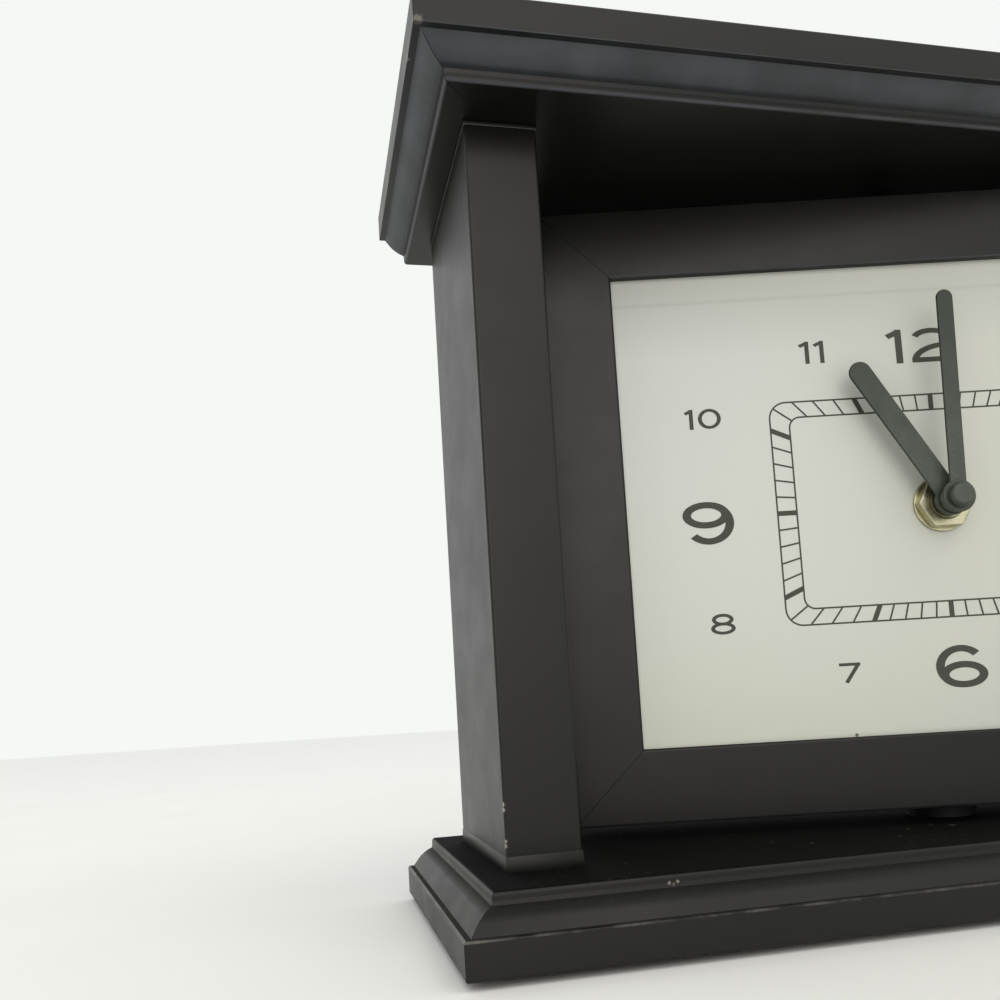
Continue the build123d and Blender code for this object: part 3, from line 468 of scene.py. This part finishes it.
def natural_acetal():
    """Natural acetal gears: milky white, waxy, a little light passing below the surface."""
    material, tree, shader, place = new_finish(
        "moulded natural acetal", IOR=1.48, Roughness=0.38, Subsurface_Weight=0.2, Subsurface_Scale=0.8 * MM
    )
    flow = add(tree, "TexNoise", {"Vector": place, "Scale": per(3), "Detail": 2.0})[0]
    colour = add(tree, "Mix", {0: flow, 6: linear("#e2ded2"), 7: linear("#efece3")}, data_type="RGBA")[2]
    tree.links.new(colour, shader["Base Color"])
    return material


def cell_sleeve():
    """Printed shrink film on a dry cell: plain slate, glossy, with a copper band towards one end."""
    material, tree, shader, place = new_finish("shrink sleeve on a dry cell", IOR=1.5, Roughness=0.22)
    placing = {"Vector": place, "Location": middle("battery"), "Rotation": panel_turn}
    local = add(tree, "Mapping", placing, vector_type="TEXTURE")[0]
    band_start = 10 * MM
    along = add(tree, "SeparateXYZ", {0: local})["X"]
    band = add(tree, "Math", {0: along, 1: band_start}, operation="GREATER_THAN")[0]
    ripple = add(tree, "TexNoise", {"Vector": place, "Scale": per(4), "Detail": 2.0})[0]
    sleeve = add(tree, "Mix", {0: ripple, 6: linear("#2b3138"), 7: linear("#363d45")}, data_type="RGBA")[2]
    colour = add(tree, "Mix", {0: band, 6: sleeve, 7: linear("#b4713f")}, data_type="RGBA")[2]
    tree.links.new(colour, shader["Base Color"])
    bump = add(tree, "Bump", {"Height": ripple, "Strength": 0.2, "Distance": 0.05 * MM})["Normal"]
    tree.links.new(bump, shader["Normal"])
    return material


def green_circuit_board():
    """Glass-fibre board under green solder mask: glossy, with the weave showing faintly through."""
    material, tree, shader, place = new_finish("green solder mask on glass fibre", IOR=1.5, Roughness=0.3)
    weave = add(tree, "TexChecker", {"Vector": place, "Scale": per(0.5)})["Fac"]
    cloud = add(tree, "TexNoise", {"Vector": place, "Scale": per(3), "Detail": 2.0})[0]
    mixed = add(tree, "Mix", {0: 0.75, 2: weave, 3: cloud})[0]
    colour = add(tree, "Mix", {0: mixed, 6: linear("#123a24"), 7: linear("#1f5a37")}, data_type="RGBA")[2]
    tree.links.new(colour, shader["Base Color"])
    return material


def enamelled_copper():
    """Enamelled copper wire wound close: dark red-brown ridges, drawn coarser than the real wire to show."""
    material, tree, shader, place = new_finish("enamelled copper winding", Metallic=0.9, Roughness=0.32)
    placing = {"Vector": place, "Location": middle("drive_coil"), "Rotation": panel_turn}
    local = add(tree, "Mapping", placing, vector_type="TEXTURE")[0]
    # The wave texture turns through 20 radians in each unit of its scale.
    wave_scale = per(0.3) / 20
    turns = add(tree, "TexWave", {"Vector": local, "Scale": wave_scale, "Distortion": 0.4})["Fac"]
    colour = add(tree, "Mix", {0: turns, 6: linear("#5a2c16"), 7: linear("#b0653a")}, data_type="RGBA")[2]
    tree.links.new(colour, shader["Base Color"])
    bump = add(tree, "Bump", {"Height": turns, "Strength": 0.6, "Distance": 0.08 * MM})["Normal"]
    tree.links.new(bump, shader["Normal"])
    return material


def float_glass():
    """Picture glass: clear and mirror-smooth apart from a trace of wiping haze."""
    material, tree, shader, place = new_finish(
        "float picture glass", IOR=1.52, Transmission_Weight=1.0, Base_Color=linear("#ffffff")
    )
    haze = add(tree, "TexNoise", {"Vector": place, "Scale": per(30), "Detail": 3.0})[0]
    wiped = add(tree, "MapRange", {0: haze, 1: 0.4, 2: 0.7, 3: 0.0, 4: 0.04})[0]
    tree.links.new(wiped, shader["Roughness"])
    return material


def landscape_print():
    """A glossy colour print of plain hills under a pale sky, with a white border."""
    material, tree, shader, place = new_finish("glossy photographic paper", IOR=1.5, Roughness=0.2)
    placing = {"Vector": place, "Location": middle("photo_print"), "Rotation": panel_turn}
    local = add(tree, "Mapping", placing, vector_type="TEXTURE")[0]
    axes = add(tree, "SeparateXYZ", {0: local})
    horizon, deep_sky = -5 * MM, 60 * MM
    rise = add(tree, "MapRange", {0: axes["Z"], 1: horizon, 2: deep_sky})[0]
    picture = add(tree, "Mix", {0: rise, 6: linear("#f6f8f8"), 7: linear("#bcd3e8")}, data_type="RGBA")[2]
    # Each ridge, from far to near: height, swell and breadth of its hills in millimetres, and its colour
    ridges = [
        (18, 14, 60, "#c3d0d8"),
        (2, 16, 45, "#a5bfae"),
        (-16, 14, 70, "#b3c387"),
        (-34, 10, 90, "#d6cf96"),
    ]
    for height, swell, span, colour in ridges:
        # Each ridge follows its own stretch of the noise, seven times its height aside.
        shifted = add(tree, "Math", {0: axes["X"], 1: height * 7 * MM}, operation="ADD")[0]
        following = {"W": shifted, "Scale": per(span), "Detail": 3.0}
        hills = add(tree, "TexNoise", following, noise_dimensions="1D")[0]
        crest = add(tree, "MapRange", {0: hills, 3: (height - swell) * MM, 4: (height + swell) * MM})[0]
        below = add(tree, "Math", {0: axes["Z"], 1: crest}, operation="LESS_THAN")[0]
        leaf = add(tree, "TexNoise", {"Vector": local, "Scale": per(4), "Detail": 6.0})[0]
        shade = add(tree, "MapRange", {0: leaf, 3: 0.25, 4: -0.1})[0]
        ground = add(tree, "Mix", {0: shade, 6: linear(colour), 7: linear("#5f6c54")}, data_type="RGBA")[2]
        picture = add(tree, "Mix", {0: below, 6: picture, 7: ground}, data_type="RGBA")[2]
    half_wide, half_high = 72 * MM, 52 * MM
    aside = add(tree, "Math", {0: axes["X"]}, operation="ABSOLUTE")[0]
    over = add(tree, "Math", {0: axes["Z"]}, operation="ABSOLUTE")[0]
    past_side = add(tree, "Math", {0: aside, 1: half_wide}, operation="GREATER_THAN")[0]
    past_end = add(tree, "Math", {0: over, 1: half_high}, operation="GREATER_THAN")[0]
    border = add(tree, "Math", {0: past_side, 1: past_end}, operation="MAXIMUM")[0]
    colour = add(tree, "Mix", {0: border, 6: picture, 7: linear("#f7f6f2")}, data_type="RGBA")[2]
    tree.links.new(colour, shader["Base Color"])
    return material


# Painted reflection: the satin lacquer is drawn bluish grey on faces that lean down, the ledge lacquer also on
# faces that look straight down.
black_paint = black_lacquer("satin black lacquer", "#0f0e0c", "#171614", (0.34, 0.40), slope_sheen=1.0)
ledge_sheen_paint = black_lacquer(
    "black lacquer with painted underside sheen", "#0f0e0c", "#171614", (0.34, 0.40), slope_sheen=1.0, level_sheen=0.3
)
# The base mouldings' lacquer carries no painted sheen.
wiped_paint = black_lacquer("wiped black lacquer", "#100f0d", "#191815", (0.38, 0.46))
# The base top's black is drawn darker than the other lacquer, as painted shade under the panel and crown.
base_top_shade_black = black_lacquer("flat black lacquer darkened as painted shade", "#050505", "#0a0a09", (0.42, 0.50), specular=0.2)
rubbed = rubbed_paint()
ink = printing_ink()
charcoal = charcoal_aluminium()
brass = turned_brass()
# The CAD pieces that keep their shape, by finish
plain_pieces = {
    black_paint: ["left_post", "right_post", "top_board"],
    sanded_beech(): ["post_dowels", "dial_fillets"],
    pressed_hardboard(): ["dial_board", "photo_backing"],
    zinc_plated_steel(): [
        "post_screws", "cover_screws", "pivot_pins", "backing_clips", "battery_contacts", "stator",
    ],
    pressed_felt(): ["foot_pads"],
    turned_nylon(): ["thrust_washer", "pivot_bushes"],
    nickel_plate(): ["frame_magnets", "photo_magnets", "rotor_magnet", "quartz_crystal"],
    matt_dial_card(): ["dial_card"],
    brass: ["centre_bush", "minute_arbor"],
    moulded_black_abs(): ["movement_housing", "movement_cover", "setting_knob"],
    soft_rubber(): ["movement_gasket"],
    natural_acetal(): [
        "hour_wheel", "minute_wheel", "centre_wheel", "third_wheel", "seconds_wheel", "step_wheel",
        "rotor_pinion",
    ],
    cell_sleeve(): ["battery"],
    green_circuit_board(): ["circuit_board"],
    enamelled_copper(): ["drive_coil"],
    float_glass(): ["photo_glass"],
    landscape_print(): ["photo_print"],
}
for material, nodes in plain_pieces.items():
    for node in nodes:
        mesh = frame["nodes"][node].data
        mesh.materials.clear()
        mesh.materials.append(material)


# Painted wood, hands and brass: copies of the CAD pieces with their edges eased


def merged_copy(node, name, *materials):
    """A copy of a CAD piece with its loose triangles merged into whole faces."""
    piece = bpy.data.objects.new(name, frame["nodes"][node].data.copy())
    bpy.context.scene.collection.objects.link(piece)
    only(piece)
    bpy.ops.mesh.customdata_custom_splitnormals_clear()
    bpy.ops.object.mode_set(mode="EDIT")
    bpy.ops.mesh.select_all(action="SELECT")
    bpy.ops.mesh.remove_doubles(threshold=0.002 * MM)
    bpy.ops.mesh.dissolve_limited(angle_limit=math.radians(0.6))
    bpy.ops.object.mode_set(mode="OBJECT")
    piece.data.materials.clear()
    for material in materials:
        piece.data.materials.append(material)
    return piece


def ease_edges(piece, width, segments, wanted, material_index=-1):
    """Rounds the convex edges that wanted picks; new faces take that slot, or with -1 their neighbours'."""
    shape = bmesh.new()
    shape.from_mesh(piece.data)
    weight = shape.edges.layers.float.new("bevel_weight_edge")
    for edge in shape.edges:
        edge[weight] = float(len(edge.link_faces) == 2 and edge.is_convex and wanted(edge))
    shape.to_mesh(piece.data)
    shape.free()
    only(piece)
    bevel = piece.modifiers.new("ease", "BEVEL")
    bevel.limit_method = "WEIGHT"
    bevel.width = width * MM
    bevel.segments = segments
    bevel.material = material_index
    bpy.ops.object.modifier_apply(modifier="ease")
    piece.data.attributes.remove(piece.data.attributes["bevel_weight_edge"])


def stand_for(piece, node):
    """Smooths the piece, lets large faces rule its shading, and puts it in the CAD node's place."""
    only(piece)
    bpy.ops.object.shade_smooth_by_angle(angle=math.radians(35))
    shading = piece.modifiers.new("even shading", "WEIGHTED_NORMAL")
    shading.keep_sharp = True
    bpy.ops.object.modifier_apply(modifier="even shading")
    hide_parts(node)
    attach(piece, frame["nodes"][node]["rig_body"])


# Heights in a case moulding run in millimetres from its fascia's outer edge: the crown's top, the base's foot
fascia_height = 6.9
# The hollows that paint has filled: where each starts and ends, and how far out from the board the paint is
filled_hollows = [
    (6.8, 7.0, 9.8),
    (11.7, 12.4, 4.85),
]


def fill_hollows(piece, mitre_points, board, outer_edge):
    """Fills a case moulding's hollows with paint; outer_edge is the height of its fascia's outer edge."""
    low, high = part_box(board)
    for start, end, out in filled_hollows:
        front, side = low.y - out * MM, high.x + out * MM
        for vertex in piece.data.vertices:
            if start * MM < abs(vertex.co.z - outer_edge) < end * MM:
                vertex.co.x = math.copysign(max(abs(vertex.co.x), side), vertex.co.x)
                if vertex.index in mitre_points:
                    vertex.co.y = min(vertex.co.y, front)


def painted(node, mitre_ways, parting, ease, coat=black_paint, level_coat=black_paint, level=None,
            rubbed_level=None, board=None, outer_edge=None):
    """A wooden piece in black lacquer, its arrises eased and its mitres parted by a hair line.

    mitre_ways are the two directions that a mitre face lies between, and parting is how far each mitre face
    draws back. Flat faces at the height level take level_coat, and arrises at rubbed_level are rubbed. A case
    moulding has the board that it runs round, and its fascia's outer_edge, for its hollows.
    """
    coat_slot, rubbed_slot, level_slot = range(3)
    piece = merged_copy(node, "painted_" + node, coat, rubbed, level_coat)

    def is_mitre(face):
        # A mitre face's normal leans 0.71 along each way, and a curved face of the profile along one at most.
        return all(abs(face.normal.dot(way)) > 0.6 for way in mitre_ways)

    def at_height(points, height):
        tolerance = 0.3 * MM
        return height is not None and all(abs(point.z - height) < tolerance for point in points)

    def reach(way):
        along = [vertex.co.dot(way) for vertex in piece.data.vertices]
        return max(along) - min(along)

    length_way = max(mitre_ways, key=reach)
    drawn_back = {}
    for face in piece.data.polygons:
        corners = [piece.data.vertices[index].co for index in face.vertices]
        face.material_index = level_slot if at_height(corners, level) else coat_slot
        if is_mitre(face):
            step = -math.copysign(parting * MM, face.normal.dot(length_way)) * length_way
            drawn_back.update((index, step) for index in face.vertices)
    for index, step in drawn_back.items():
        piece.data.vertices[index].co += step
    if board:
        fill_hollows(piece, drawn_back, board, outer_edge)

    def long_and_sharp(edge):
        shortest, bluntest = 1.5 * MM, math.radians(28)
        return edge.calc_length() > shortest and edge.calc_face_angle() > bluntest

    def against_board(edge):
        # A case moulding's inner face looks in towards the case's middle, and lies against the board.
        sides = [(face.normal.xy, -face.calc_center_median().xy.normalized()) for face in edge.link_faces]
        return board is not None and any(facing.dot(inward) > 0.95 for facing, inward in sides)

    def is_rubbed(edge):
        return at_height([vertex.co for vertex in edge.verts], rubbed_level)

    def free_arris(edge):
        return long_and_sharp(edge) and not any(map(is_mitre, edge.link_faces)) and not against_board(edge)

    rubbed_ease = 0.45
    ease_edges(piece, rubbed_ease, 2, lambda edge: free_arris(edge) and is_rubbed(edge), rubbed_slot)
    ease_edges(piece, ease, 3, lambda edge: free_arris(edge) and not is_rubbed(edge), coat_slot)
    stand_for(piece, node)


case_ways = (Vector((1, 0, 0)), Vector((0, 1, 0)))
panel_ways = (panel_right, WORLD_UP)
crown_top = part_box("top_board")[1].z
crown_ledge = crown_top - fascia_height * MM
base_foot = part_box("base_board")[0].z
base_ledge = base_foot + fascia_height * MM
base_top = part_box("base_board")[1].z
# The crown's ledge undersides take the lacquer with painted sheen, the base top the black darkened as painted
# shade.
for side in ("front", "left", "right"):
    painted("crown_" + side, case_ways, parting=0.07, ease=0.35, level_coat=ledge_sheen_paint, level=crown_ledge,
            board="top_board", outer_edge=crown_top)
    painted("base_" + side, case_ways, parting=0.03, ease=0.35, coat=wiped_paint, level_coat=base_top_shade_black,
            level=base_top, rubbed_level=base_ledge, board="base_board", outer_edge=base_foot)
for rail in ("top_rail", "bottom_rail", "left_stile", "right_stile"):
    painted("frame_" + rail, panel_ways, parting=0.06, ease=0.3)
    painted("photo_" + rail, panel_ways, parting=0.06, ease=0.3)


def painted_board(node, coat, top_coat):
    """A painted board whose faces that look up take top_coat: on the base board, black darkened as painted
    shade.
    """
    piece = merged_copy(node, "painted_" + node, coat, top_coat)
    for face in piece.data.polygons:
        face.material_index = int(face.normal.z > 0.9)
    stand_for(piece, node)


painted_board("base_board", wiped_paint, base_top_shade_black)


def softened(node, material, ease, sharper_than):
    """A small hard piece with every edge sharper than that many degrees rounded over."""
    piece = merged_copy(node, "soft_edged_" + node, material)
    ease_edges(piece, ease, 3, lambda edge: edge.calc_face_angle() > math.radians(sharper_than))
    stand_for(piece, node)


for node in ("hour_hand", "minute_hand", "hand_cap"):
    softened(node, charcoal, ease=0.32, sharper_than=40)
for node in ("dial_nut", "dial_washer"):
    softened(node, brass, ease=0.4, sharper_than=25)


# Dial print


def arc(centre_x, centre_y, reach_x, reach_y, start, end, steps=32):
    """Points along an ellipse between two angles in degrees, anticlockwise when end is larger."""
    turns = [math.radians(start + (end - start) * step / steps) for step in range(steps + 1)]
    return [(centre_x + reach_x * math.cos(turn), centre_y + reach_y * math.sin(turn)) for turn in turns]


def digit_strokes(digit, w, h, t):
    """Stroke centre lines of a digit w wide and h high, with strokes t thick, from its lower left corner."""
    left, right, low, high = t / 2, w - t / 2, t / 2, h - t / 2
    half, tall = (w - t) / 2, (h - t) / 2
    loop = [(x * 0.92, y) for x, y in arc(w / 2, 0.69 * h, half, 0.31 * h - t / 2, 0, 360)]
    nine = [loop, arc(w / 2, h / 2, half, tall, 75, -138)]
    strokes = {
        "0": [arc(w / 2, h / 2, half, tall, 0, 360)],
        "1": [[(right, 0), (right, h)], [(right, high), (0, 0.80 * h)]],
        "2": [arc(w / 2, 0.69 * h, half, 0.31 * h - t / 2, 160, -58), [(0, low), (w, low)],
              arc(0.94 * w, low, 0.94 * w - left, 0.43 * h, 180, 104)],
        "3": [arc(0.47 * w, 0.74 * h, 0.43 * w, 0.26 * h - t / 2, 150, -90),
              arc(w / 2, 0.26 * h + t / 4, half, 0.26 * h - t / 4, 95, -150)],
        "4": [[(0.64 * w, h), (left, 0.25 * h)], [(0, 0.25 * h), (w, 0.25 * h)],
              [(0.72 * w, 0.56 * h), (0.72 * w, 0)]],
        "5": [[(0.14 * w, high), (0.92 * w, high)], [(0.19 * w, high), (0.13 * w, 0.52 * h)],
              arc(0.47 * w, 0.32 * h, 0.53 * w - t / 2, 0.32 * h - t / 2, 130, -150)],
        "6": [[(w - x, h - y) for x, y in stroke] for stroke in nine],
        "7": [[(0, high), (w, high)], [(right, high), (0.30 * w, 0)]],
        "8": [arc(w / 2, 0.755 * h - t / 4, 0.86 * half, 0.245 * h - t / 4, 0, 360),
              arc(w / 2, 0.255 * h + t / 4, half, 0.255 * h - t / 4, 0, 360)],
        "9": nine,
    }
    return strokes[digit]


# How far each printed line lies above the one before, and how thick the ink is, in millimetres
line_lift = 0.0006
film_thickness = 0.04


def laid_print(name, lines):
    """Flat printed lines on the dial: each of lines is (points in millimetres, width, sideways stretch).

    Each line lies a hair above the one before, so that crossing strokes read as one.
    """
    printed = []
    for width, stretch in sorted({line[1:] for line in lines}):
        path = bpy.data.curves.new(name, "CURVE")
        path.dimensions = "3D"
        path.twist_mode = "Z_UP"
        path.extrude = width / 2 * MM
        for order, (points, line_width, line_stretch) in enumerate(lines):
            if (line_width, line_stretch) == (width, stretch):
                spline = path.splines.new("POLY")
                closed = math.dist(points[0], points[-1]) < 1e-6
                points = points[:-1] if closed else points
                spline.points.add(len(points) - 1)
                spline.use_cyclic_u = closed
                for point, (x, y) in zip(spline.points, points):
                    point.co = (x * MM, y * MM, line_lift * order * MM, 1)
                    point.tilt = math.pi / 2
        strokes = bpy.data.objects.new(name, path)
        bpy.context.scene.collection.objects.link(strokes)
        only(strokes)
        bpy.ops.object.convert(target="MESH")
        strokes = bpy.context.object
        strokes.data.transform(Matrix.Diagonal((stretch, 1, 1, 1)))
        printed.append(strokes)
    only(printed[0])
    for strokes in printed[1:]:
        strokes.select_set(True)
    bpy.ops.object.join()
    piece = bpy.context.object
    piece.name = name
    bpy.ops.object.mode_set(mode="EDIT")
    bpy.ops.mesh.select_all(action="SELECT")
    bpy.ops.mesh.remove_doubles(threshold=0.001 * MM)
    bpy.ops.mesh.normals_make_consistent(inside=False)
    bpy.ops.object.mode_set(mode="OBJECT")
    film = piece.modifiers.new("film", "SOLIDIFY")
    film.thickness = film_thickness * MM
    film.offset = 0.0
    bpy.ops.object.modifier_apply(modifier="film")
    bpy.ops.object.shade_flat()
    piece.data.transform(dial_place @ Matrix.Translation((0, 0, film_thickness / 2 * MM)))
    piece.data.materials.append(ink)
    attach(piece, "panel")


digit_stretch = 1.36
# Each hour's digits, and in millimetres its centre, height and stroke, its digits' widths and their gap
hour_numerals = [
    ("12", (-1.3, 39.2), 8.4, 1.2, [3.5, 9.8], 2.2),
    ("1", (27.5, 39.0), 5.5, 0.74, [2.3], 0),
    ("2", (55.0, 24.1), 4.9, 0.68, [5.2], 0),
    ("3", (55.6, -1.3), 10.3, 1.5, [11.2], 0),
    ("4", (54.3, -25.6), 4.9, 0.68, [6.0], 0),
    ("5", (25.2, -38.8), 4.9, 0.68, [5.2], 0),
    ("6", (1.0, -38.8), 10.0, 1.5, [12.0], 0),
    ("7", (-25.2, -38.8), 4.6, 0.68, [5.0], 0),
    ("8", (-54.1, -25.6), 4.9, 0.68, [5.8], 0),
    ("9", (-55.6, -1.3), 10.3, 1.5, [12.1], 0),
    ("10", (-55.0, 24.1), 4.9, 0.68, [1.9, 5.5], 1.2),
    ("11", (-27.5, 39.0), 5.5, 0.74, [2.3, 2.3], 1.3),
]
numeral_lines = []
for digits, (centre_x, centre_y), height, stroke, widths, gap in hour_numerals:
    start = centre_x - (sum(widths) + gap) / 2
    for digit, width in zip(digits, widths):
        for points in digit_strokes(digit, width / digit_stretch, height, stroke):
            moved = [(x + start / digit_stretch, y + centre_y - height / 2) for x, y in points]
            numeral_lines.append((moved, stroke, digit_stretch))
        start += width + gap
laid_print("dial_numerals", numeral_lines)


def rounded_rectangle(half_wide, half_high, corner):
    """Points round a rectangle with rounded corners, closed."""
    points = []
    for quarter, (side_x, side_y) in enumerate([(1, 1), (-1, 1), (-1, -1), (1, -1)]):
        centre = (side_x * (half_wide - corner), side_y * (half_high - corner))
        points += arc(*centre, corner, corner, 90 * quarter, 90 * quarter + 90, 8)
    return points + points[:1]


def tick_end(step, line):
    """Where a tick meets a line of the track, step minutes on from the track's top towards its side."""
    outline, near_pitch, far_pitch, in_corner, side_pitch = line
    half_wide, half_high = outline[:2]
    if step == 9:
        return in_corner
    if step < 9:
        return (near_pitch * min(step, 5) + far_pitch * max(step - 5, 0), half_high)
    return (half_wide, side_pitch * (15 - step))


# The track's outer and inner line, in millimetres: half width, half height and corner, the ticks' pitch in
# the first five minutes from the top and in the next three, the ninth tick in the corner, the side's pitch
track = [
    ((39.0, 27.0, 4.0), 3.68, 5.00, (38.0, 25.6), 4.06),
    ((34.4, 23.2, 2.6), 3.34, 4.43, (33.7, 22.4), 3.64),
]
hair = 0.38
bold = 1.15
track_stretch = 1.0
track_lines = [(rounded_rectangle(*line[0]), hair, track_stretch) for line in track]
for side_x, side_y in [(1, 1), (-1, 1), (-1, -1), (1, -1)]:
    for step in range(16):
        on_axis_twice = (step == 0 and side_x < 0) or (step == 15 and side_y < 0)
        if not on_axis_twice:
            ends = [(side_x * x, side_y * y) for x, y in (tick_end(step, line) for line in track)]
            track_lines.append((ends, bold if step % 5 == 0 else hair, track_stretch))
laid_print("minute_track", track_lines)


# Paint gathered at the posts' ends


def post_skirt(node, name, at_foot, height, flare):
    """A collar of thick paint where a post meets a board, wider against the board."""
    proud = 0.1
    soft_edge = 0.2
    low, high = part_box(node)
    near_z, away_z = (low.z, low.z + height * MM) if at_foot else (high.z, high.z - height * MM)
    centre = ((low.x + high.x) / 2, (low.y + high.y) / 2, (near_z + away_z) / 2)
    bpy.ops.object.select_all(action="DESELECT")
    bpy.ops.mesh.primitive_cube_add(size=1.0, location=centre)
    skirt = bpy.context.object
    skirt.name = name
    skirt.scale = (high.x - low.x + proud * MM, high.y - low.y + proud * MM, height * MM)
    bpy.ops.object.transform_apply(location=True, rotation=True, scale=True)
    bpy.ops.object.mode_set(mode="EDIT")
    bpy.ops.mesh.select_all(action="DESELECT")
    bpy.ops.object.mode_set(mode="OBJECT")
    for vertex in skirt.data.vertices:
        vertex.select = abs(vertex.co.z - near_z) < 0.01 * MM
    bpy.ops.object.mode_set(mode="EDIT")
    grow = [1 + 2 * flare * MM / (high[axis] - low[axis]) for axis in (0, 1)]
    bpy.ops.transform.resize(value=(grow[0], grow[1], 1))
    bpy.ops.object.mode_set(mode="OBJECT")
    bevel = skirt.modifiers.new("soft", "BEVEL")
    bevel.width = soft_edge * MM
    bevel.segments = 3
    bpy.ops.object.modifier_apply(modifier="soft")
    bpy.ops.object.shade_smooth_by_angle(angle=math.radians(40))
    skirt.data.materials.append(black_paint)
    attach(skirt, "case")


for side in ("left", "right"):
    post_skirt(side + "_post", side + "_post_foot_paint", at_foot=True, height=3.3, flare=0.22)
    post_skirt(side + "_post", side + "_post_top_paint", at_foot=False, height=1.0, flare=0.15)

boxes = {"cad": cad_box, "visual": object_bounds()}
{name: [list(corner) for corner in box] for name, box in boxes.items()}
